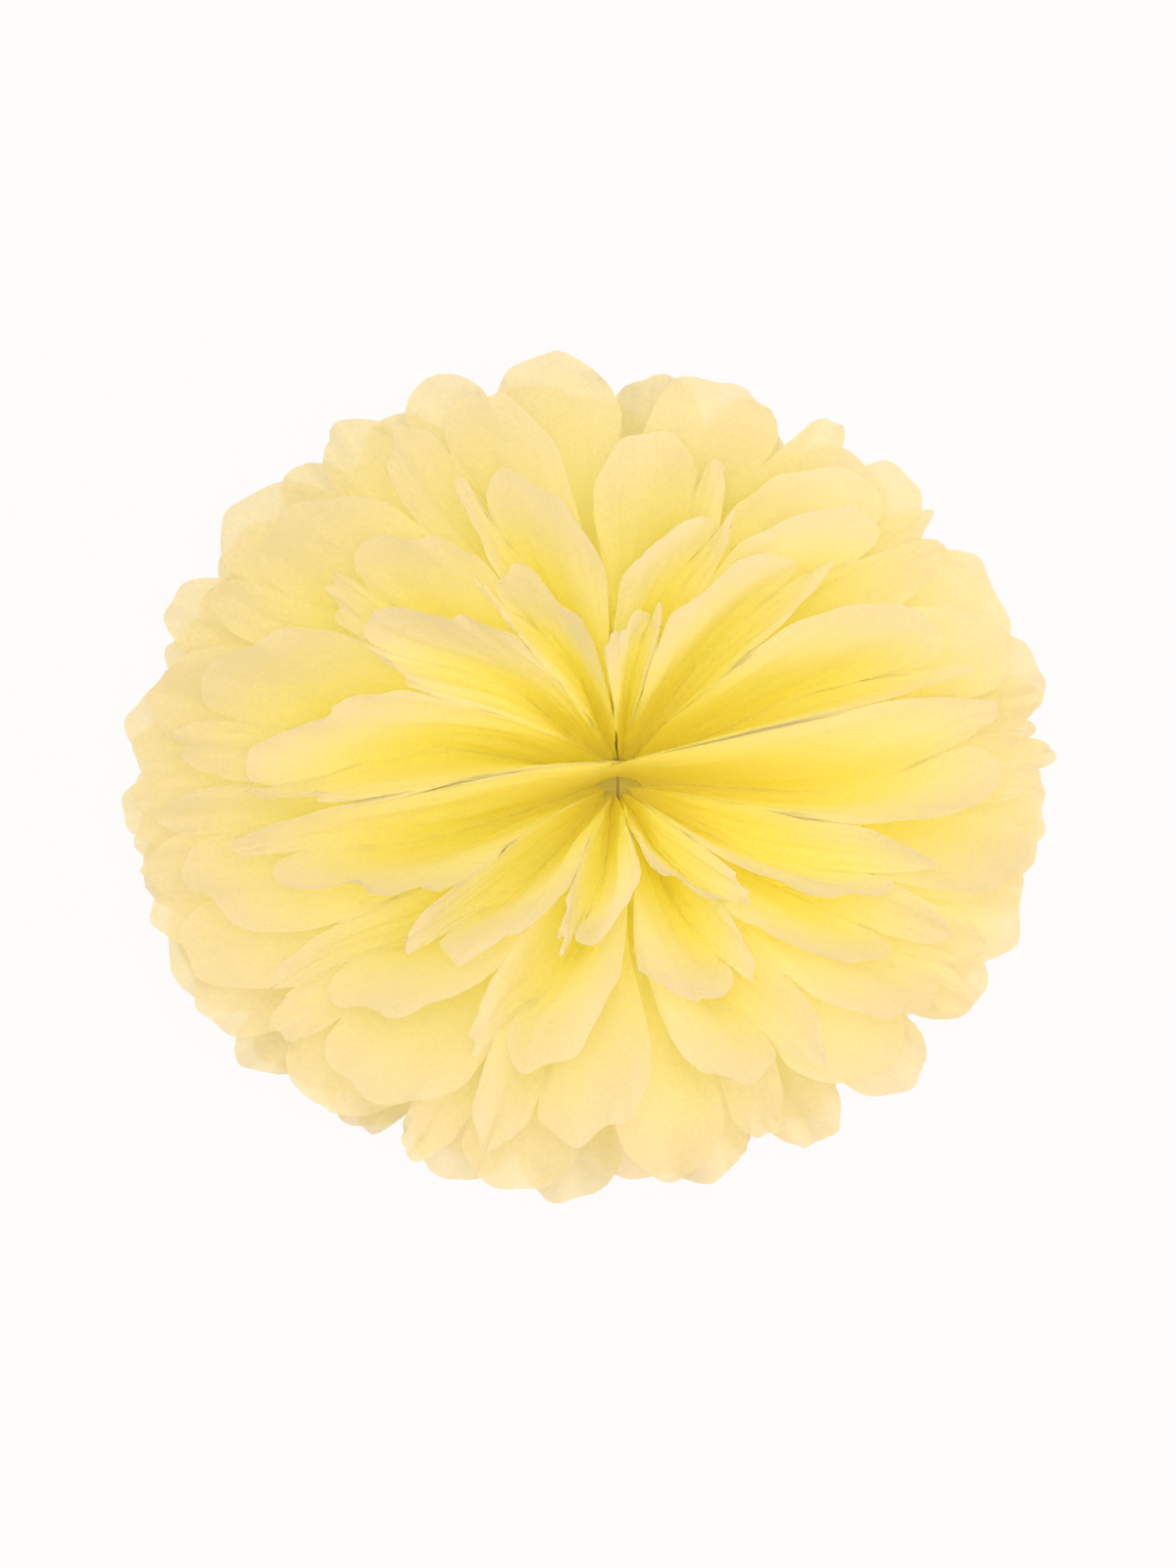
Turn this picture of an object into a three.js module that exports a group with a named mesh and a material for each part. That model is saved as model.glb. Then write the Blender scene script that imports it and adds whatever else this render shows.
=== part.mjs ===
// A tissue paper pom pom: a stack of tissue sheets folded together into one accordion strip, tied round the
// middle with wire, cut round at both ends, fanned open and pulled apart sheet by sheet into a ball.
// Millimetres, +Z up. X runs along the folded strip, Z is the stack's own normal, and the pom pom stands on
// the petals of its lowest sheet, with the origin under the middle of its box.
import * as THREE from "three";

// The sheets, as cut and folded
const SHEET_COUNT = 8;
const PLEAT_COUNT = 12;
const PLEAT_WIDTH = 40;
const SHEET_LENGTH = 352;
const TIE_OFFSET = 12;
const SCALLOP_DEPTH = 28;
const PAPER = 0.3;
const LAYER_GAP = 0.8;

// The tie
const WAIST_RADIUS = 6;
const WIRE_DIAMETER = 1;
const WIRE_GAP = 0.4;
const PIGTAIL_LENGTH = 18;
const PIGTAIL_PITCH = 9;

// How the fluffed ball is opened: angles in degrees, leans measured from +Z
const TOP_LEAN = 28;
const BOTTOM_LEAN = 142;
const FAN_AT_TIE = 80;
const FAN_AT_RIM = 88.6;
const FAN_OPEN_BY = 60;
const CORE_LIFT = 16;
const LOOSE_FROM = 70;
const LOOSE_BY = 152;
const BAND_SHARE = 0.72;
const PLEAT_SHARE = 0.78;
const SWAY = 4.5;
const SADDLE = 13;
const CREST_LEAN = -6;
const CREST_FROM = 40;
const CREST_BY = 150;
const TWIST = 4;
const SPIRAL = 2.5;
const SIDE_SQUEEZE = 0.885;
// Where upper petals were pulled down, or up if less than nothing: direction, how far, and how wide a part
// of the ball
const PULLS = [[7, 18, 32], [50, 5, 20], [138, -11, 26], [205, 10, 36]];
const PULL_FROM = 5;
const PULL_BY = 30;

// How uneven the folds are: the wide pleats' share of a pair, and the scatter of each fold line
const FACING_SHARE = 0.54;
const FACING_SHARE_GAIN = 0.3;
const FOLD_SHIFT = 0.3;
const STRAY_SHARE = 0.6;
const CURL_SHARE = 0.4;
const CUSP_SCATTER = 0.04;

// How it sits on the table
const TIE_HEIGHT = 80;
const REST_STEP = 11.5;
const SPLAY = 0.45;

// Mesh steps: rows as shares of the paper's reach, points across each pleat
const ROW_SHARES = [0, 0.16, 0.66];
const PLEAT_POINTS = [0, 0.25, 0.75];
const LAST_ROW_MARGIN = 4;
const WIRE_SIDES = 6;
const WIRE_STEPS = 56;

const radians = THREE.MathUtils.degToRad;
const lerp = THREE.MathUtils.lerp;
const REACH = SHEET_LENGTH / 2 - WAIST_RADIUS;
const LAYER_PITCH = PAPER + LAYER_GAP;
const LEAN_STEP = (BOTTOM_LEAN - TOP_LEAN) / (SHEET_COUNT - 1);
const BAND = (LEAN_STEP / 2) * BAND_SHARE;
const ROWS = ROW_SHARES.map((share) => share * REACH);

const tissue = new THREE.MeshStandardMaterial({ color: 0xf9e08a, roughness: 0.85, metalness: 0 });
const wire = new THREE.MeshStandardMaterial({ color: 0xd9d2c0, roughness: 0.45, metalness: 0.6 });

// The ball is pulled a little to one side of the tie, so the petals reach further on that side.
function reachAt(side, rimTurn) {
  return REACH - side * TIE_OFFSET * Math.cos(radians(rimTurn));
}

// From 0 near the tie, where the sheets' folds nest, to 1 at the rim, where each sheet hangs its own way.
function loosened(out) {
  return THREE.MathUtils.smoothstep(out, LOOSE_FROM, LOOSE_BY);
}

// A repeatable scatter from -1 to 1 for one fold of one side of one sheet.
function scatter(sheet, side, fold, kind) {
  const wave = Math.sin(sheet * 12.9898 + side * 78.233 + fold * 37.719 + kind * 4.581 + 1.37) * 43758.5453;
  return 2 * (wave - Math.floor(wave)) - 1;
}

// Return pleats are narrow and facing pleats between them wide, more so near the poles. The two pleats at the
// middle fold are both returns, so that fold stands as a crest.
function isFacing(pleat) {
  const fromMiddle = pleat < PLEAT_COUNT / 2 ? PLEAT_COUNT / 2 - 1 - pleat : pleat - PLEAT_COUNT / 2;
  return Math.floor(fromMiddle) % 2 === 1;
}

function pleatTurns(lean) {
  const facingShare = FACING_SHARE + FACING_SHARE_GAIN * Math.abs(Math.cos(radians(lean)));
  const shares = [];
  for (let pleat = 0; pleat < PLEAT_COUNT; pleat++) {
    shares.push(isFacing(pleat) ? facingShare : 1 - facingShare);
  }
  const whole = shares.reduce((sum, share) => sum + share, 0);
  return shares.map((share) => (2 * FAN_AT_RIM * share) / whole);
}

// Half the zigzag of the pleats, in degrees, this far out: what their width has left over once it is fanned.
// The folds nest deep in one another near the tie, and keep to their own sheet's band at the rim.
function pleatLift(lean, out) {
  const across = (radians(2 * FAN_AT_RIM) / PLEAT_COUNT) * out * Math.sin(radians(lean));
  const rise = Math.sqrt(Math.max(0, PLEAT_WIDTH ** 2 - across ** 2));
  const most = lerp(CORE_LIFT, BAND * PLEAT_SHARE, loosened(out));
  return Math.min(most, THREE.MathUtils.radToDeg(rise / (2 * Math.max(out, 1))));
}

// The fold lines of one half of a sheet: their place in the fan, which way they point and how they stray at
// the rim. The middle fold is a mountain on both sides. On the top sheet its two halves stand up over the tie
// as a crest.
function foldLines(sheet, side) {
  const lean = TOP_LEAN + sheet * LEAN_STEP;
  const turns = pleatTurns(lean);
  const room = BAND * (1 - PLEAT_SHARE);
  const folds = [];
  let rimTurn = -FAN_AT_RIM;
  for (let fold = 0; fold <= PLEAT_COUNT; fold++) {
    const edge = fold === 0 || fold === PLEAT_COUNT;
    const narrower = Math.min(turns[fold], turns[fold - 1]);
    const shift = edge ? 0 : FOLD_SHIFT * narrower * scatter(sheet, side, fold, 0);
    const uneven = 1 - CUSP_SCATTER * (1 + scatter(sheet, side, fold, 3));
    folds.push({
      lean,
      share: (2 * fold) / PLEAT_COUNT - 1,
      rimTurn: rimTurn + shift,
      way: (fold - Math.floor(PLEAT_COUNT / 2)) % 2 === 0 ? -1 : 1,
      crest: sheet === 0 && fold === Math.floor(PLEAT_COUNT / 2) ? 1 : 0,
      stray: STRAY_SHARE * room * scatter(sheet, side, fold, 1),
      curl: CURL_SHARE * room * scatter(sheet, side, fold, 2),
      cusp: (reachAt(side, rimTurn) - SCALLOP_DEPTH) * uneven,
    });
    rimTurn += edge && fold > 0 ? 0 : turns[fold];
  }
  return folds;
}

// Where a fold line points at this distance from the tie, as a turn in its fan and a lean, in degrees. Each
// sheet is turned a little on the one below it, so that no slit between two fans lies over the next.
function foldHeading(fold, sheet, side, out) {
  const loose = loosened(out);
  const opened = THREE.MathUtils.smoothstep(out, 0, FAN_OPEN_BY);
  const nested = fold.share * lerp(FAN_AT_TIE, FAN_AT_RIM, opened);
  const turnedOn = THREE.MathUtils.smoothstep(out, WAIST_RADIUS, FAN_OPEN_BY / 2);
  const spiral = side * SPIRAL * ((SHEET_COUNT - 1) / 2 - sheet) * turnedOn;
  const twist = side * TWIST * (sheet % 2 === 0 ? 1 : -1) * loose;
  const stray = fold.stray * loose + fold.curl * (out / REACH) ** 3;
  const crest = fold.crest * (1 - THREE.MathUtils.smoothstep(out, CREST_FROM, CREST_BY));
  return {
    turn: lerp(nested, fold.rimTurn, loose) + spiral + twist,
    lean: lerp(fold.lean + fold.way * pleatLift(fold.lean, out) + stray, CREST_LEAN, crest),
  };
}

// How far the upper petals are pulled down or up in this direction, in degrees of lean.
function pulled(azimuth, lean) {
  const high = THREE.MathUtils.smoothstep(lean, PULL_FROM, PULL_BY) * Math.max(0, Math.cos(radians(lean)));
  return PULLS.reduce((sum, [at, by, width]) => {
    const apart = THREE.MathUtils.euclideanModulo(THREE.MathUtils.radToDeg(azimuth) - at + 180, 360) - 180;
    return sum + by * Math.exp(-((apart / width) ** 2)) * high;
  }, 0);
}

// How the whole ball leans, in degrees, the same for every sheet so that neighbours lean together: flatter
// along the strip and steeper beside it, with a gentle sway and the upper petals pulled here and there.
function sway(azimuth, lean) {
  const waves = Math.sin(3 * azimuth + 0.7) + 0.6 * Math.sin(5 * azimuth + 2 * radians(lean) + 2.1);
  const saddle = SADDLE * Math.cos(2 * azimuth) * Math.sin(2 * radians(lean));
  return saddle + SWAY * waves * Math.sin(radians(lean)) + pulled(azimuth, lean);
}

// Paper that would go through the table lies flat on it and splays outwards, each sheet on the one below.
function restOnTable(point, sheet) {
  const floor = -TIE_HEIGHT + (SHEET_COUNT - 1 - sheet) * REST_STEP + PAPER / 2;
  const below = Math.max(0, floor - point.z);
  const around = Math.hypot(point.x, point.y);
  const spread = 1 + (SPLAY * below) / Math.max(around, 1);
  const rested = new THREE.Vector3(point.x * spread, point.y * spread, point.z + below);
  rested.liesFlat = below > 0;
  return rested;
}

// How far the cut edge lies from the tie: round on every pleat, with a cusp at every fold.
function edgeReach(folds, pleat, across) {
  const cusp = lerp(folds[pleat].cusp, folds[pleat + 1].cusp, across);
  return cusp + SCALLOP_DEPTH * Math.sqrt(Math.max(0, 1 - (2 * across - 1) ** 2));
}

// A point of the sheet's middle surface: pleat and across count along the folded width, row along its length.
function paperPoint(folds, sheet, side, pleat, across, row) {
  const reach = edgeReach(folds, pleat, across);
  const out = row < ROWS.length ? Math.min(ROWS[row], reach - LAST_ROW_MARGIN) : reach;
  const a = foldHeading(folds[pleat], sheet, side, out);
  const b = foldHeading(folds[pleat + 1], sheet, side, out);
  const turn = lerp(a.turn, b.turn, across);
  const lean = lerp(a.lean, b.lean, across);
  const azimuth = radians(side > 0 ? turn : 180 - turn);
  const tilt = radians(lean + sway(azimuth, lean));
  const start = radians(lerp(folds[pleat].share, folds[pleat + 1].share, across) * FAN_AT_TIE);
  const layer = ((SHEET_COUNT - 1) / 2 - sheet) * LAYER_PITCH;
  const along = side * WAIST_RADIUS * Math.cos(start) + out * Math.sin(tilt) * Math.cos(azimuth);
  const aside = WAIST_RADIUS * Math.sin(start) + out * Math.sin(tilt) * Math.sin(azimuth) * SIDE_SQUEEZE;
  return restOnTable(new THREE.Vector3(along, aside, layer + out * Math.cos(tilt)), sheet);
}

// One sheet as a rectangular grid: columns across the pleats, rows from the left tips through the tie to the
// right tips.
function sheetGrid(sheet) {
  const halves = { left: foldLines(sheet, -1), right: foldLines(sheet, 1) };
  const places = [];
  for (let pleat = 0; pleat < PLEAT_COUNT; pleat++) {
    PLEAT_POINTS.forEach((across) => places.push([pleat, across]));
  }
  places.push([PLEAT_COUNT - 1, 1]);
  const rows = [];
  for (let row = ROWS.length; row >= 0; row--) {
    rows.push(places.map(([pleat, across]) => paperPoint(halves.left, sheet, -1, pleat, across, row)));
  }
  for (let row = 0; row <= ROWS.length; row++) {
    rows.push(places.map(([pleat, across]) => paperPoint(halves.right, sheet, 1, pleat, across, row)));
  }
  return rows;
}

// Gives a grid of points the thickness of the paper: two faces and the rim between them, one closed solid.
function thickened(rows, thickness) {
  const height = rows.length;
  const width = rows[0].length;
  const centres = rows.flat();
  const middle = new THREE.BufferGeometry().setFromPoints(centres);
  const faces = [];
  for (let r = 0; r + 1 < height; r++) {
    for (let c = 0; c + 1 < width; c++) {
      const [a, b, d, e] = [r * width + c, r * width + c + 1, (r + 1) * width + c, (r + 1) * width + c + 1];
      faces.push([a, d, b], [b, d, e]);
    }
  }
  middle.setIndex(faces.flat());
  middle.computeVertexNormals();
  const count = height * width;
  const points = [];
  for (const way of [0.5, -0.5]) {
    for (let i = 0; i < count; i++) {
      const normal = new THREE.Vector3().fromBufferAttribute(middle.attributes.normal, i);
      if (centres[i].liesFlat) normal.set(0, 0, Math.sign(normal.z));
      points.push(centres[i].clone().addScaledVector(normal, way * thickness));
    }
  }
  const rim = [];
  for (let c = 0; c < width; c++) rim.push(c);
  for (let r = 1; r < height; r++) rim.push(r * width + width - 1);
  for (let c = width - 2; c >= 0; c--) rim.push((height - 1) * width + c);
  for (let r = height - 2; r >= 1; r--) rim.push(r * width);
  const index = faces.flat();
  faces.forEach(([a, b, c]) => index.push(count + a, count + c, count + b));
  rim.forEach((a, i) => {
    const b = rim[(i + 1) % rim.length];
    index.push(a, b, count + a, b, count + b, count + a);
  });
  return new THREE.BufferGeometry().setFromPoints(points).setIndex(index);
}

// The wire goes once round the waist, through the slits between the two fans, and twists into a pigtail
// below.
function wireTie() {
  const clear = PAPER / 2 + WIRE_GAP + WIRE_DIAMETER / 2;
  const halfWidth = WAIST_RADIUS + clear;
  const halfHeight = ((SHEET_COUNT - 1) / 2) * LAYER_PITCH + clear;
  const strand = WIRE_DIAMETER / 2 + WIRE_GAP / 2;
  const twistTop = -halfHeight - 2 * WIRE_DIAMETER;
  const path = [];
  const twistSteps = Math.ceil((8 * PIGTAIL_LENGTH) / PIGTAIL_PITCH);
  const twisted = (step, phase) => {
    const down = (step / twistSteps) * PIGTAIL_LENGTH;
    const angle = (2 * Math.PI * down) / PIGTAIL_PITCH + phase;
    return new THREE.Vector3(strand * Math.sin(angle), strand * Math.cos(angle), twistTop - down);
  };
  for (let step = twistSteps; step >= 0; step--) path.push(twisted(step, 0));
  const corner = 0.8;
  const round = [
    [corner, -1], [1, -corner], [1, corner], [corner, 1], [0, 1],
    [-corner, 1], [-1, corner], [-1, -corner], [-corner, -1],
  ];
  round.forEach(([y, z]) => path.push(new THREE.Vector3(0, y * halfWidth, z * halfHeight)));
  for (let step = 0; step <= twistSteps; step++) path.push(twisted(step, Math.PI));
  const section = new THREE.Shape();
  for (let i = 0; i < WIRE_SIDES; i++) {
    const angle = (2 * Math.PI * i) / WIRE_SIDES;
    const [x, y] = [Math.cos(angle), Math.sin(angle)].map((v) => (v * WIRE_DIAMETER) / 2);
    if (i === 0) section.moveTo(x, y);
    else section.lineTo(x, y);
  }
  section.closePath();
  const along = new THREE.CatmullRomCurve3(path, false, "centripetal");
  return new THREE.ExtrudeGeometry(section, { steps: WIRE_STEPS, extrudePath: along, bevelEnabled: false });
}

const pompom = new THREE.Group();
for (let sheet = 0; sheet < SHEET_COUNT; sheet++) {
  const paper = new THREE.Mesh(thickened(sheetGrid(sheet), PAPER), tissue);
  paper.name = `tissue_sheet_${sheet + 1}`;
  pompom.add(paper);
}
const tie = new THREE.Mesh(wireTie(), wire);
tie.name = "wire_tie";
pompom.add(tie);

// Stand it on the table, centred over the origin.
const box = new THREE.Box3().setFromObject(pompom, true);
const middle = box.getCenter(new THREE.Vector3());
pompom.position.set(-middle.x, -middle.y, -box.min.z);

export default pompom;
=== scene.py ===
# %% [markdown]
# # A tissue paper pom pom
#
# Eight sheets of tissue are folded together like an accordion, tied round the waist with wire, cut round
# at both ends and pulled apart. Each sheet here is one surface, worked out from the way it is folded: a
# pleat keeps its width, so where the fan is narrow the folds stand deep, and where it is wide they lie
# nearly flat.

# %% Frame
import math

import bpy
import numpy as np
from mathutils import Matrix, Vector


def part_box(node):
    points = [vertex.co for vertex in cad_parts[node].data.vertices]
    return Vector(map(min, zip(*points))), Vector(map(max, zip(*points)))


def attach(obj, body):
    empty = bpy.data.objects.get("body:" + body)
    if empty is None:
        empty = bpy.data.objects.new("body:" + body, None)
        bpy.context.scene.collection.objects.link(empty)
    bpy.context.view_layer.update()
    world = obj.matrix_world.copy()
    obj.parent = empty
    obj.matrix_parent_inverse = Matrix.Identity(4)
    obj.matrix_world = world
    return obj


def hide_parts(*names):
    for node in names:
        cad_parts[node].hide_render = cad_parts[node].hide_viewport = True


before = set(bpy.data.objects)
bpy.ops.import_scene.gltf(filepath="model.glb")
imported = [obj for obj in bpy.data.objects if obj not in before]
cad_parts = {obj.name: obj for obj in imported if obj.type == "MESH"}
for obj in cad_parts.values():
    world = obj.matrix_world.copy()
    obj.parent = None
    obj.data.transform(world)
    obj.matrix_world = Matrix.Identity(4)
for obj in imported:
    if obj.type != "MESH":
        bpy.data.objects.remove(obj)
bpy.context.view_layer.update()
MM = 0.001
TURN = 2 * math.pi

# %% [markdown]
# ## Sizes
#
# Lengths are millimetres, leans are degrees from upright, and turns are degrees round the tie within one
# fan. These are the values of the solids, so that each surface lies where its solid does. Only the last two
# groups belong to the surfaces alone. The tie's place is read from the frame.

# %% Sizes
# The sheets, as cut and folded
SHEETS = 8
PLEATS = 12
PLEAT_WIDTH = 40
SHEET_LENGTH = 352
TIE_OFFSET = 12
SCALLOP_DEPTH = 28
LAYER_PITCH = 1.1
WAIST_RADIUS = 6
REACH = SHEET_LENGTH / 2 - WAIST_RADIUS

# How the fluffed ball is opened
TOP_LEAN = 28
BOTTOM_LEAN = 142
FAN_AT_TIE = 80
FAN_AT_RIM = 88.6
FAN_OPEN_BY = 60
CORE_LIFT = 16
LOOSE_FROM = 70
LOOSE_BY = 152
BAND_SHARE = 0.72
PLEAT_SHARE = 0.78
SWAY = 4.5
SADDLE = 13
CREST_LEAN = -6
CREST_FROM = 40
CREST_BY = 150
TWIST = 4
SPIRAL = 2.5
SIDE_SQUEEZE = 0.885
LEAN_STEP = (BOTTOM_LEAN - TOP_LEAN) / (SHEETS - 1)
BAND = LEAN_STEP / 2 * BAND_SHARE
# Where upper petals were pulled down, or up if less than nothing: direction, how far and how wide
PULLS = [(7, 18, 32), (50, 5, 20), (138, -11, 26), (205, 10, 36)]
PULL_FROM = 5
PULL_BY = 30

# How uneven the folds are: the wide pleats' share of a pair, and the scatter of each fold line
FACING_SHARE = 0.54
FACING_SHARE_GAIN = 0.3
FOLD_SHIFT = 0.3
STRAY_SHARE = 0.6
CURL_SHARE = 0.4
CUSP_SCATTER = 0.04

# How it sits on the table
TIE_HEIGHT = 80
REST_STEP = 11.5
SPLAY = 0.45

# How the paper softens: valleys near the tie are shallower on the upper sheets, which were pulled up first
SOFT_VALLEY = [0.4, 0.85, 1, 1, 1, 1, 1, 1]
SPIRAL_FROM = 2
WAIST_CLOSED = 0.9
WAIST_CLOSE_FROM = 3
WAIST_CLOSE_BY = 9
ROUND_FROM = 40
ROUND_BY = 130
REST_LIFT = 0.6
REST_SOFTNESS = 4
REST_FROM = -40
REST_BY = -6
TABLE_GAP = 0.2

# How each petal is shaped: degrees of lean, apart from the nicks, which are millimetres
CUP = 1.2
CUP_SCATTER = 2.2
NARROW_CUP = 0.5
TIP_CURL = 4.5
RUFFLE = 1.2
RUFFLE_WAVES = 2.3
NICK_DEPTH = 0.9
NICK_WAVES = 2.4

tie_low, tie_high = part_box("wire_tie")
TIE = np.array([(tie_low[0] + tie_high[0]) / 2 / MM, (tie_low[1] + tie_high[1]) / 2 / MM, TIE_HEIGHT])
print("tie at", TIE.round(2), "mm")

# %% [markdown]
# ## Colours and nodes
#
# Colours are written as they look on a screen and turned into the light that they stand for. One small
# function adds a node, sets its sockets and links what comes in.


# %% Small helpers
def linear(hex_colour):
    channels = [int(hex_colour[i : i + 2], 16) / 255 for i in (1, 3, 5)]
    return [c / 12.92 if c <= 0.04045 else ((c + 0.055) / 1.055) ** 2.4 for c in channels] + [1.0]


def add(tree, kind, links=None, sockets=None, **settings):
    node = tree.nodes.new(kind)
    for name, value in settings.items():
        setattr(node, name, value)
    for name, value in (sockets or {}).items():
        node.inputs[name].default_value = value
    for name, source in (links or {}).items():
        tree.links.new(source, node.inputs[name])
    return node


def empty_material(name):
    material = bpy.data.materials.new(name)
    material.use_nodes = True
    material.node_tree.nodes.clear()
    return material, material.node_tree


# %% [markdown]
# ## Tissue
#
# The sheets are dyed tissue paper: thin, matt, made of pressed fibres. Tissue scatters light both ways, so
# nearly half of what falls on a petal lights the petal behind it. A plain yellow diffuse colour could be
# painted, but then the crevices would turn grey. Here a pale yellow paper mixes diffuse with translucent
# light, and the light that passes many petals turns gold by itself, while single tips stay pale. The paper
# is also painted paler towards the rim, as painted light for the glow through single petals. Near the rim,
# where the sheets lie apart, a little light goes straight through.


# %% Tissue material
# Matt and soft to the eye: no highlight, and a slight mottle of fibres. The fibres are drawn coarser than
# the real 0.02 mm ones, which no render of the whole ball could show.
def tissue_material():
    material, tree = empty_material("dyed_tissue_paper")
    place = add(tree, "ShaderNodeTexCoord")
    rim = add(tree, "ShaderNodeAttribute", attribute_name="rim")
    fibres = add(
        tree, "ShaderNodeTexNoise", {"Vector": place.outputs["Object"]},
        {"Scale": 1 / (1.6 * MM), "Detail": 1.0, "Roughness": 0.65},
    )

    # Painted paler towards the rim: painted light, for the glow of light through single petals there.
    # Sockets 6 and 7 of a colour mix are its two colours.
    painted_rim_glow = add(
        tree, "ShaderNodeMapRange", {"Value": rim.outputs["Fac"]}, {"From Min": 0.55, "From Max": 1.0},
    )
    body = add(
        tree, "ShaderNodeMix", {"Factor": painted_rim_glow.outputs["Result"]},
        {6: linear("#fffebc"), 7: linear("#fffeec")}, data_type="RGBA",
    )
    tone = add(
        tree, "ShaderNodeMapRange", {"Value": fibres.outputs["Fac"]},
        {"From Min": 0.3, "From Max": 0.7, "To Min": 0.97, "To Max": 1.02},
    )
    mottled = add(
        tree, "ShaderNodeHueSaturation", {"Color": body.outputs[2], "Value": tone.outputs["Result"]},
    )
    relief = add(
        tree, "ShaderNodeBump", {"Height": fibres.outputs["Fac"]},
        {"Strength": 0.12, "Distance": 0.05 * MM},
    )

    # Light thrown back and light let through, and some straight through at the rim.
    front = add(
        tree, "ShaderNodeBsdfDiffuse",
        {"Color": mottled.outputs["Color"], "Normal": relief.outputs["Normal"]}, {"Roughness": 0.4},
    )
    through = add(
        tree, "ShaderNodeBsdfTranslucent",
        {"Color": mottled.outputs["Color"], "Normal": relief.outputs["Normal"]},
    )
    paper = add(
        tree, "ShaderNodeMixShader", {1: front.outputs["BSDF"], 2: through.outputs["BSDF"]}, {"Fac": 0.45},
    )
    clear = add(tree, "ShaderNodeBsdfTransparent", sockets={"Color": linear("#fff6dc")})
    sheer = add(
        tree, "ShaderNodeMapRange", {"Value": rim.outputs["Fac"]},
        {"From Min": 0.75, "From Max": 1.0, "To Max": 0.25},
    )
    whole = add(
        tree, "ShaderNodeMixShader",
        {"Fac": sheer.outputs["Result"], 1: paper.outputs["Shader"], 2: clear.outputs["BSDF"]},
    )
    add(tree, "ShaderNodeOutputMaterial", {"Surface": whole.outputs["Shader"]})
    return material


TISSUE = tissue_material()

# %% [markdown]
# ## Folding a sheet
#
# A real sheet is a flat strip with twelve pleats and round ends. It could be folded by a cloth simulation,
# but a stack of eight thin sheets would easily tangle. So each point is placed by rules, the same as those
# of the solids: where each fold line lies in its fan, how far it leans from upright, and how deep the pleats
# stand at each distance from the tie.


# %% Fold lines
def smooth(value, low, high):
    t = np.clip((value - low) / (high - low), 0, 1)
    return t * t * (3 - 2 * t)


def mix(a, b, t):
    return a + (b - a) * t


# From 0 near the tie, where the folds nest, to 1 at the rim, where each sheet hangs its own way.
def loosened(out):
    return smooth(out, LOOSE_FROM, LOOSE_BY)


# A repeatable scatter from -1 to 1 for one fold or pleat of one side of one sheet.
def scatter(sheet, side, fold, kind):
    wave = np.sin(sheet * 12.9898 + side * 78.233 + fold * 37.719 + kind * 4.581 + 1.37) * 43758.5453
    return 2 * (wave - np.floor(wave)) - 1


# Return pleats are narrow, and the facing pleats between them wide.
def pleat_turns(lean):
    facing_share = FACING_SHARE + FACING_SHARE_GAIN * abs(math.cos(math.radians(lean)))
    pleat = np.arange(PLEATS)
    from_middle = np.where(pleat < PLEATS // 2, PLEATS // 2 - 1 - pleat, pleat - PLEATS // 2)
    facing = from_middle % 2 == 1
    shares = np.where(facing, facing_share, 1 - facing_share)
    return 2 * FAN_AT_RIM * shares / shares.sum(), facing


# Half the zigzag of the pleats: what their width has left over once it is fanned.
def pleat_lift(lean, out):
    across = math.radians(2 * FAN_AT_RIM) / PLEATS * out * math.sin(math.radians(lean))
    rise = np.sqrt(np.maximum(0, PLEAT_WIDTH**2 - across**2))
    most = mix(CORE_LIFT, BAND * PLEAT_SHARE, loosened(out))
    return np.minimum(most, np.degrees(rise / (2 * np.maximum(out, 1))))


def fold_lines(sheet, side):
    lean = TOP_LEAN + sheet * LEAN_STEP
    turns, facing = pleat_turns(lean)
    fold = np.arange(PLEATS + 1)
    room_to_stray = BAND * (1 - PLEAT_SHARE)
    narrow = np.minimum(np.append(turns, 0), np.append(0, turns))
    rim = -FAN_AT_RIM + np.append(0, np.cumsum(turns))
    reach = REACH - side * TIE_OFFSET * np.cos(np.radians(rim))
    uneven = 1 - CUSP_SCATTER * (1 + scatter(sheet, side, fold, 3))
    return {
        "lean": lean,
        "facing": facing,
        "share": 2 * fold / PLEATS - 1,
        "rim_turn": rim + FOLD_SHIFT * narrow * scatter(sheet, side, fold, 0),
        "way": np.where((fold - PLEATS // 2) % 2 == 0, -1, 1),
        "crest": np.where((sheet == 0) & (fold == PLEATS // 2), 1, 0),
        "stray": STRAY_SHARE * room_to_stray * scatter(sheet, side, fold, 1),
        "curl": CURL_SHARE * room_to_stray * scatter(sheet, side, fold, 2),
        "cusp": (reach - SCALLOP_DEPTH) * uneven,
    }


# Where a fold line points at each distance from the tie: its turn in the fan and its lean.
def heading(folds, index, sheet, side, out):
    loose = loosened(out)
    opened = smooth(out, 0, FAN_OPEN_BY)
    nested = folds["share"][index] * mix(FAN_AT_TIE, FAN_AT_RIM, opened)
    turned_on = smooth(out, SPIRAL_FROM, FAN_OPEN_BY / 2)
    spiral = side * SPIRAL * ((SHEETS - 1) / 2 - sheet) * turned_on
    twist = side * TWIST * (1 if sheet % 2 == 0 else -1) * loose
    stray = folds["stray"][index] * loose + folds["curl"][index] * (out / REACH) ** 3
    turn = mix(nested, folds["rim_turn"][index], loose) + spiral + twist
    valley = np.where(folds["way"][index] > 0, mix(SOFT_VALLEY[sheet], 1, loose), 1)
    lean = folds["lean"] + folds["way"][index] * valley * pleat_lift(folds["lean"], out) + stray
    crest = folds["crest"][index] * (1 - smooth(out, CREST_FROM, CREST_BY))
    return turn, mix(lean, CREST_LEAN, crest)


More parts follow.
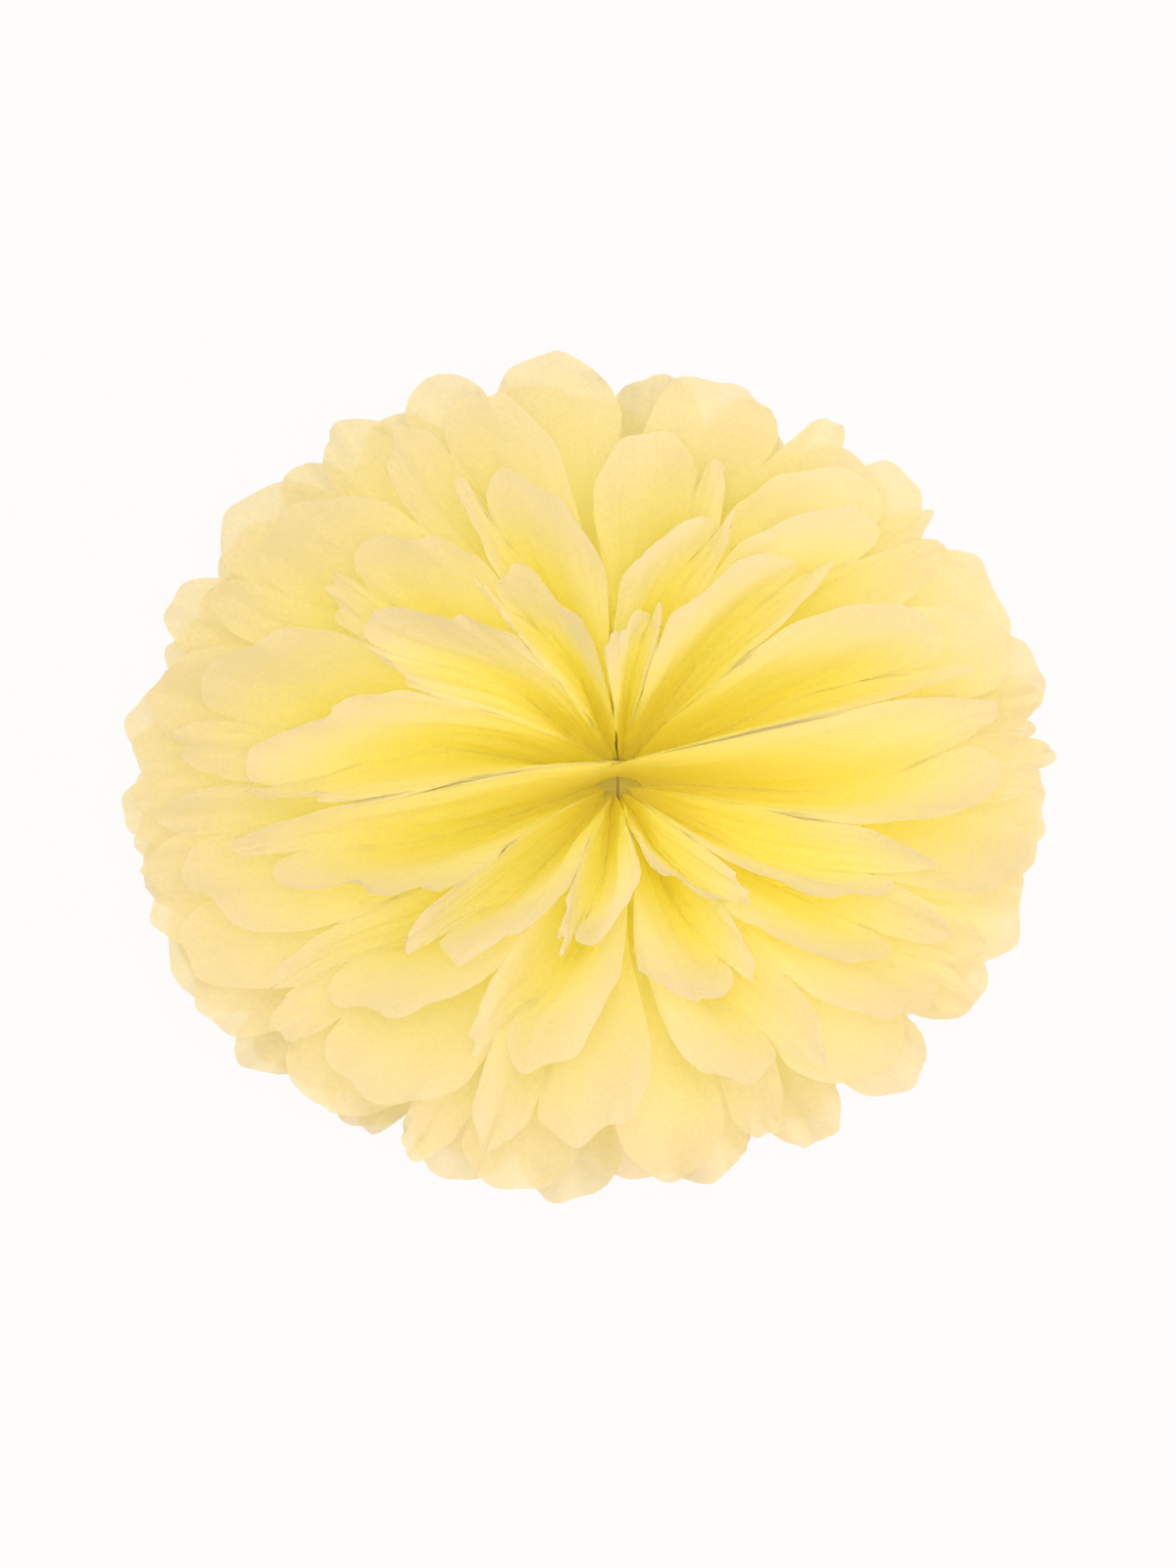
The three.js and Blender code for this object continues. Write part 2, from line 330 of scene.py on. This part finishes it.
# How the whole ball leans, the same for every sheet: flatter along the strip, steeper beside it, with a
# gentle sway and the upper petals pulled here and there.
def sway(azimuth, lean):
    waves = np.sin(3 * azimuth + 0.7) + 0.6 * np.sin(5 * azimuth + 2 * np.radians(lean) + 2.1)
    saddle = SADDLE * np.cos(2 * azimuth) * np.sin(2 * np.radians(lean))
    high = smooth(lean, PULL_FROM, PULL_BY) * np.maximum(0, np.cos(np.radians(lean)))
    pulled = 0
    for at, by, width in PULLS:
        apart = (np.degrees(azimuth) - at + 180) % 360 - 180
        pulled = pulled + by * np.exp(-((apart / width) ** 2)) * high
    return saddle + SWAY * waves * np.sin(np.radians(lean)) + pulled


# %% [markdown]
# Between its folds the surface adds what paper does by itself. Folds round off towards the rim, each petal
# cups, its tip curls in or out, and its edge, cut by hand through the whole stack, is a little nicked and
# ruffled. Paper that reaches the table lies down on it.


# %% One half of a sheet
ACROSS_STEPS = 24
OUT_STEPS = 44


# Which pleat each column of points is on, and how far across it.
def columns():
    pleat = np.repeat(np.arange(PLEATS), ACROSS_STEPS)
    across = np.tile(np.arange(ACROSS_STEPS) / ACROSS_STEPS, PLEATS)
    return np.append(pleat, PLEATS - 1), np.append(across, 1.0)


# How far out the round cut lies on each column.
def cut_edge(folds, sheet, side, pleat, across):
    cusp = mix(folds["cusp"][pleat], folds["cusp"][pleat + 1], across)
    lobe = SCALLOP_DEPTH * np.sqrt(np.maximum(0, 1 - (2 * across - 1) ** 2))
    nicks = np.sin(TURN * (NICK_WAVES * across + scatter(sheet, side, pleat, 8)))
    return cusp + lobe + NICK_DEPTH * nicks * np.sin(np.pi * across)


# How a petal bends out of its plane: the cup over most of it, the curl and the ruffle near its edge.
def petal_lean(folds, sheet, side, pleat, across, share):
    cup = CUP + CUP_SCATTER * scatter(sheet, side, pleat, 4)
    cup = cup * np.where(folds["facing"][pleat], 1, NARROW_CUP)
    tip = TIP_CURL * scatter(sheet, side, pleat, 5)
    ruffle = RUFFLE * np.sin(TURN * (RUFFLE_WAVES * across + scatter(sheet, side, pleat, 9)))
    return np.sin(np.pi * across) * (cup * share**1.5 + tip * share**7 + ruffle * share**8)


# Paper that would go too low is lifted, the higher sheets the more, and slides outwards.
def rest_on_table(x, y, z, sheet):
    gap = -TIE_HEIGHT + (SHEETS - 1 - sheet) * REST_STEP + REST_LIFT - z
    below = 0.5 * (gap + np.sqrt(gap**2 + REST_SOFTNESS**2)) * smooth(gap, REST_FROM, REST_BY)
    spread = 1 + SPLAY * np.maximum(below, 0) / np.maximum(np.hypot(x, y), 1)
    return np.stack([x * spread, y * spread, z + below], axis=-1)


def half_sheet(sheet, side):
    folds = fold_lines(sheet, side)
    pleat, across = columns()
    rows = np.linspace(0, 1, OUT_STEPS + 1)[:, None]
    out = rows * cut_edge(folds, sheet, side, pleat, across)[None, :]
    share = out / REACH
    turn_a, lean_a = heading(folds, pleat, sheet, side, out)
    turn_b, lean_b = heading(folds, pleat + 1, sheet, side, out)
    rounded = mix(across, 0.5 - 0.5 * np.cos(np.pi * across), smooth(out, ROUND_FROM, ROUND_BY))
    lean = mix(lean_a, lean_b, rounded) + petal_lean(folds, sheet, side, pleat, across, share)
    turn = mix(turn_a, turn_b, across)

    azimuth = np.radians(turn if side > 0 else 180 - turn)
    tilt = np.radians(lean + sway(azimuth, lean))
    start = np.radians(mix(folds["share"][pleat], folds["share"][pleat + 1], across) * FAN_AT_TIE)
    waist = WAIST_RADIUS * (1 - WAIST_CLOSED * smooth(out, WAIST_CLOSE_FROM, WAIST_CLOSE_BY))
    x = side * waist * np.cos(start) + out * np.sin(tilt) * np.cos(azimuth)
    y = WAIST_RADIUS * np.sin(start) + out * np.sin(tilt) * np.sin(azimuth) * SIDE_SQUEEZE
    z = ((SHEETS - 1) / 2 - sheet) * LAYER_PITCH + out * np.cos(tilt)
    return rest_on_table(x, y, z, sheet), share


# %% [markdown]
# Creases are a sum of long waves that run out from the tie, 5 to 17 mm across and most of a petal long. The
# lower sheets carry the ball, so they are crushed as well: close gathers by the tie, and crumples further
# out, where they press on the table. Gathers have the same phase on every sheet, because the folds there lie
# in one another.

# %% Creases
# Each wave's width, length and height
CREASES = [(17, 120, 0.7), (11, 75, 0.45), (7, 55, 0.28), (5, 90, 0.18)]
CREASE_FROM = 0.12
CREASE_BY = 0.5
CRUSH_WIDTH = 10
CRUSHED_FROM_SHEET = 3
GATHER_HEIGHT = 1.5
CRUMPLE_HEIGHT = 1.3
# Distances from the tie over which gathers come, gathers go and crumples come
GATHERED = (5, 16)
GATHERS_GONE = (45, 100)
CRUMPLED = (60, 110)


def grid_normals(points):
    along = np.gradient(points, axis=0)
    aside = np.gradient(points, axis=1)
    normal = np.cross(along, aside)
    return normal / np.maximum(np.linalg.norm(normal, axis=-1, keepdims=True), 1e-9)


# Where each point lies on the flat sheet, across its pleats and along them.
def flat_place(share):
    rows, cols = share.shape
    across = np.arange(cols)[None, :] / ACROSS_STEPS * PLEAT_WIDTH
    along = np.linspace(-1, 1, rows)[:, None] * REACH
    return across, along


# Each wave wanders sideways and fades in and out along its length, so that no two creases run alike.
def creases(share, sheet):
    across, along = flat_place(share)
    total = np.zeros(share.shape)
    for wave, (width, length, height) in enumerate(CREASES):
        phase = TURN * scatter(sheet, wave, 3, 7)
        bend = 2.2 * np.sin(along / length * 3.1 + across / (5 * width) + phase)
        fading = np.sin(along / length * 2 + wave + 0.03 * across)
        total += height * np.sin(TURN * across / width + bend + phase) * fading
    return total * smooth(share, CREASE_FROM, CREASE_BY)


def crushing(share, sheet):
    across, along = flat_place(share)
    out = share * REACH
    gathers = np.sin(TURN * across / CRUSH_WIDTH + 0.9 * np.sin(along / 19))
    gathers = gathers * smooth(out, *GATHERED) * (1 - smooth(out, *GATHERS_GONE))
    crumples = np.sin(TURN * across / CRUSH_WIDTH + 1.6 * np.sin(along / 8 + across / 13))
    crumples = crumples * smooth(out, *CRUMPLED)
    pressed = smooth(sheet, CRUSHED_FROM_SHEET, SHEETS - 1)
    return pressed * (GATHER_HEIGHT * gathers + CRUMPLE_HEIGHT * crumples)


# %% [markdown]
# A sheet's two halves meet at the tie in one grid, so it stays one piece of paper from tip to tip. The
# share of its reach is kept on every point, for the painted light that turns the paper paler towards the
# rim, and for the light let straight through there.


# %% Whole sheets
def paper_mesh(name, points, share):
    rows, cols = share.shape
    index = np.arange(rows * cols).reshape(rows, cols)
    corners = [index[:-1, :-1], index[1:, :-1], index[1:, 1:], index[:-1, 1:]]
    faces = np.stack(corners, axis=-1).reshape(-1, 4)
    mesh = bpy.data.meshes.new(name)
    mesh.from_pydata(points.reshape(-1, 3).tolist(), [], faces.tolist())
    mesh.attributes.new("rim", "FLOAT", "POINT").data.foreach_set("value", share.reshape(-1))
    mesh.polygons.foreach_set("use_smooth", [True] * len(mesh.polygons))
    mesh.materials.append(TISSUE)
    mesh.update()
    return mesh


def make_sheet(sheet):
    left, left_share = half_sheet(sheet, -1)
    right, right_share = half_sheet(sheet, 1)
    points = np.concatenate([left[::-1], right])
    share = np.concatenate([left_share[::-1], right_share])
    relief = creases(share, sheet) + crushing(share, sheet)
    points = points + grid_normals(points) * relief[..., None]
    points[..., 2] = np.maximum(points[..., 2], -TIE_HEIGHT + TABLE_GAP)
    name = f"paper_{sheet + 1}"
    paper = bpy.data.objects.new(name, paper_mesh(name, (points + TIE) * MM, share))
    bpy.context.collection.objects.link(paper)
    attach(paper, "root")
    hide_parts(f"tissue_sheet_{sheet + 1}")
    return paper


papers = [make_sheet(sheet) for sheet in range(SHEETS)]
print(len(papers), "sheets,", sum(len(p.data.polygons) for p in papers) * 2, "triangles")

# %% [markdown]
# ## Wire
#
# The tie is galvanised steel florist's wire, drawn through a die. Its solid already has the loop and the
# twisted ends, so it is kept and only gets a finish. A new tube along the same path could be swept, but it
# would look no different at this size.


# %% Wire material
# A dull zinc grey, with a sheen that is rougher in patches.
def wire_material():
    material, tree = empty_material("galvanised_wire")
    place = add(tree, "ShaderNodeTexCoord")
    drawn = add(
        tree, "ShaderNodeTexNoise", {"Vector": place.outputs["Object"]},
        {"Scale": 1 / (0.8 * MM), "Detail": 3.0},
    )
    rough = add(
        tree, "ShaderNodeMapRange", {"Value": drawn.outputs["Fac"]},
        {"From Min": 0.3, "From Max": 0.7, "To Min": 0.3, "To Max": 0.5},
    )
    relief = add(
        tree, "ShaderNodeBump", {"Height": drawn.outputs["Fac"]}, {"Strength": 0.2, "Distance": 0.03 * MM},
    )
    shader = add(
        tree, "ShaderNodeBsdfPrincipled",
        {"Roughness": rough.outputs["Result"], "Normal": relief.outputs["Normal"]},
        {"Base Color": linear("#c9bfa2"), "Metallic": 0.9},
    )
    add(tree, "ShaderNodeOutputMaterial", {"Surface": shader.outputs["BSDF"]})
    return material


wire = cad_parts["wire_tie"]
wire.data.materials.clear()
wire.data.materials.append(wire_material())

# %% [markdown]
# ## Stage
#
# The ball lies on white in a bright room, with a lamp by the camera, a rosier one on the right and a
# yellower one on the left. A white ground could be had by lighting a white board until it clips, but that
# would burn out the pale paper too. Here the room is white only to the camera and to shiny wire, and the
# table mostly so: it keeps a faint shadow, and the light that it throws back on the paper is that of a matt
# white board. Under the ball the table isn't whitened, so that no white shines through the slits beside the
# tie. Light bounces many times between petals before it leaves the middle of the ball, so it is followed for
# many bounces: cut short, the middle turns dark and olive.

# %% Table and room
# The table's half width is in metres, and the two distances from its middle in millimetres.
TABLE_HALF = 4.0
TABLE_WHITENED = 0.92
SHADED_WITHIN = 60
WHITE_BEYOND = 120
ROOM_STRENGTH = 0.615


# 1 for what the camera sees, straight or in shiny wire, and 0 for light on its way to the paper.
def looked_at(tree):
    path = add(tree, "ShaderNodeLightPath")
    return add(
        tree, "ShaderNodeMath", {0: path.outputs["Is Camera Ray"], 1: path.outputs["Is Glossy Ray"]},
        operation="MAXIMUM",
    )


def table_material():
    material, tree = empty_material("table")
    matt = add(tree, "ShaderNodeBsdfDiffuse", sockets={"Color": linear("#f4f4f2")})
    bright = add(tree, "ShaderNodeEmission", sockets={"Color": (1, 1, 1, 1), "Strength": 1.0})
    place = add(tree, "ShaderNodeTexCoord")
    from_middle = add(tree, "ShaderNodeVectorMath", {0: place.outputs["Object"]}, operation="LENGTH")
    open_table = add(
        tree, "ShaderNodeMapRange", {"Value": from_middle.outputs["Value"]},
        {"From Min": SHADED_WITHIN * MM, "From Max": WHITE_BEYOND * MM, "To Max": TABLE_WHITENED},
    )
    whiten = add(
        tree, "ShaderNodeMath", {0: looked_at(tree).outputs["Value"], 1: open_table.outputs["Result"]},
        operation="MULTIPLY",
    )
    seen = add(
        tree, "ShaderNodeMixShader",
        {"Fac": whiten.outputs["Value"], 1: matt.outputs["BSDF"], 2: bright.outputs["Emission"]},
    )
    add(tree, "ShaderNodeOutputMaterial", {"Surface": seen.outputs["Shader"]})
    return material


def table():
    mesh = bpy.data.meshes.new("table")
    half = TABLE_HALF
    corners = [(-half, -half, 0), (half, -half, 0), (half, half, 0), (-half, half, 0)]
    mesh.from_pydata(corners, [], [(0, 1, 2, 3)])
    mesh.materials.append(table_material())
    top = bpy.data.objects.new("table", mesh)
    bpy.context.collection.objects.link(top)


def room():
    world = bpy.data.worlds.new("room")
    bpy.context.scene.world = world
    world.use_nodes = True
    tree = world.node_tree
    tree.nodes.clear()
    soft = add(
        tree, "ShaderNodeBackground", sockets={"Color": linear("#ffe9d2"), "Strength": ROOM_STRENGTH},
    )
    white = add(tree, "ShaderNodeBackground", sockets={"Color": (1, 1, 1, 1), "Strength": 1.0})
    seen = add(
        tree, "ShaderNodeMixShader",
        {
            "Fac": looked_at(tree).outputs["Value"],
            1: soft.outputs["Background"],
            2: white.outputs["Background"],
        },
    )
    add(tree, "ShaderNodeOutputWorld", {"Surface": seen.outputs["Shader"]})


table()
room()

# %% Lights and camera
# Metres here, as the stage is much larger than the ball
CENTRE = Vector((0, -0.003, 0.11))
VIEW_ELEVATION = math.radians(86)
VIEW_DISTANCE = 1.9
VIEW_WIDTH = 0.415
SENSOR_WIDTH = 36


def area_light(name, place, size, power, colour):
    data = bpy.data.lights.new(name, "AREA")
    data.size = size
    data.energy = power
    data.color = linear(colour)[:3]
    lamp = bpy.data.objects.new(name, data)
    lamp.location = place
    lamp.rotation_euler = (CENTRE - Vector(place)).to_track_quat("-Z", "Y").to_euler()
    bpy.context.collection.objects.link(lamp)


area_light("overhead_light", (0.02, -0.06, 1.65), size=0.3, power=6.2, colour="#ffecd6")
area_light("right_light", (1.1, -0.4, 0.8), size=0.8, power=6, colour="#ffdcee")
area_light("left_light", (-1.1, 0.5, 1.0), size=0.9, power=4.5, colour="#fff0a8")

lens = bpy.data.cameras.new("camera")
lens.sensor_fit = "HORIZONTAL"
lens.sensor_width = SENSOR_WIDTH
lens.lens = SENSOR_WIDTH * VIEW_DISTANCE / VIEW_WIDTH
camera = bpy.data.objects.new("camera", lens)
towards = Vector((0, -math.cos(VIEW_ELEVATION), math.sin(VIEW_ELEVATION)))
camera.location = CENTRE + VIEW_DISTANCE * towards
camera.rotation_euler = (CENTRE - camera.location).to_track_quat("-Z", "Y").to_euler()
bpy.context.collection.objects.link(camera)
bpy.context.scene.camera = camera
bpy.context.scene.view_settings.view_transform = "Standard"
bpy.context.scene.cycles.max_bounces = 64
bpy.context.scene.cycles.diffuse_bounces = 60
bpy.context.scene.cycles.transmission_bounces = 60
bpy.context.scene.cycles.transparent_max_bounces = 8
